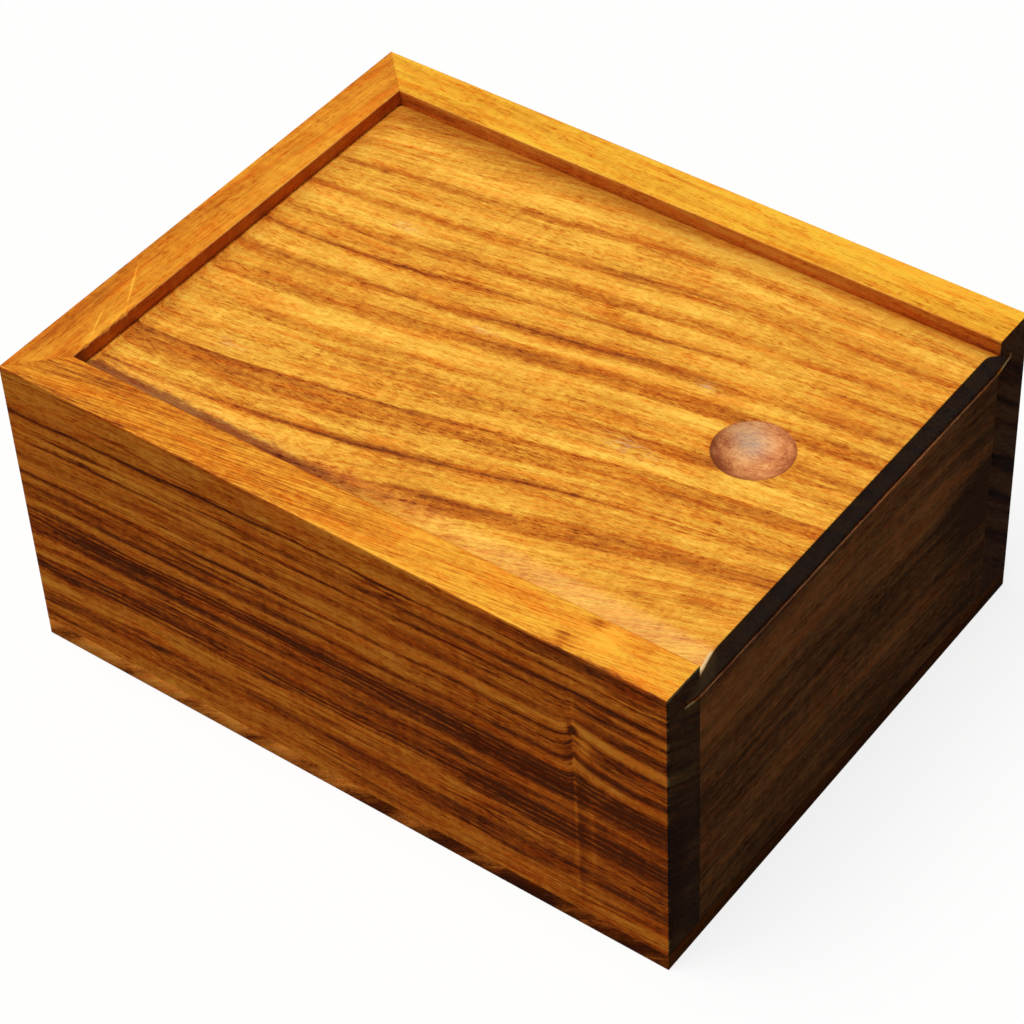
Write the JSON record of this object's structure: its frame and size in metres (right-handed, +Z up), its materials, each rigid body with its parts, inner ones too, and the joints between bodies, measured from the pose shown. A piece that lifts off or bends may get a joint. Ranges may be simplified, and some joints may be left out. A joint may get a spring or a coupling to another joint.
{
  "type": "chess piece storage box",
  "caption": "Rectangular hardwood storage box for chess pieces, with mitred back corners, a low front wall and a sloped lid that slides out in a groove and has a round thumb recess.",
  "frame": {"origin": "middle of the underside of the bottom board", "axes": "+X along the lid's travel towards the front, +Y across the box to the far side, +Z up"},
  "size_m": [0.19, 0.15, 0.09],
  "materials": {
    "wall_wood": "striped brown hardwood, satin varnish",
    "lid_wood": "golden striped hardwood, satin varnish",
    "bottom_wood": "brown hardwood, thin varnish",
    "joint_wood": "bare pale hardwood",
    "pin_steel": "bright drawn wire"
  },
  "bodies": {
    "box": {"near_side": "wall_wood", "far_side": "wall_wood", "back_end": "wall_wood", "front_end": "wall_wood", "bottom_board": "bottom_wood", "near_spline": "joint_wood", "far_spline": "joint_wood", "near_dowels": "joint_wood", "far_dowels": "joint_wood", "bottom_pins": "pin_steel"},
    "lid": {"lid": "lid_wood"}
  },
  "joints": [
    {"name": "lid_slide", "type": "slide", "parent": "box", "child": "lid", "axis": [1, 0, 0], "range_m": [0, 0.19]}
  ]
}
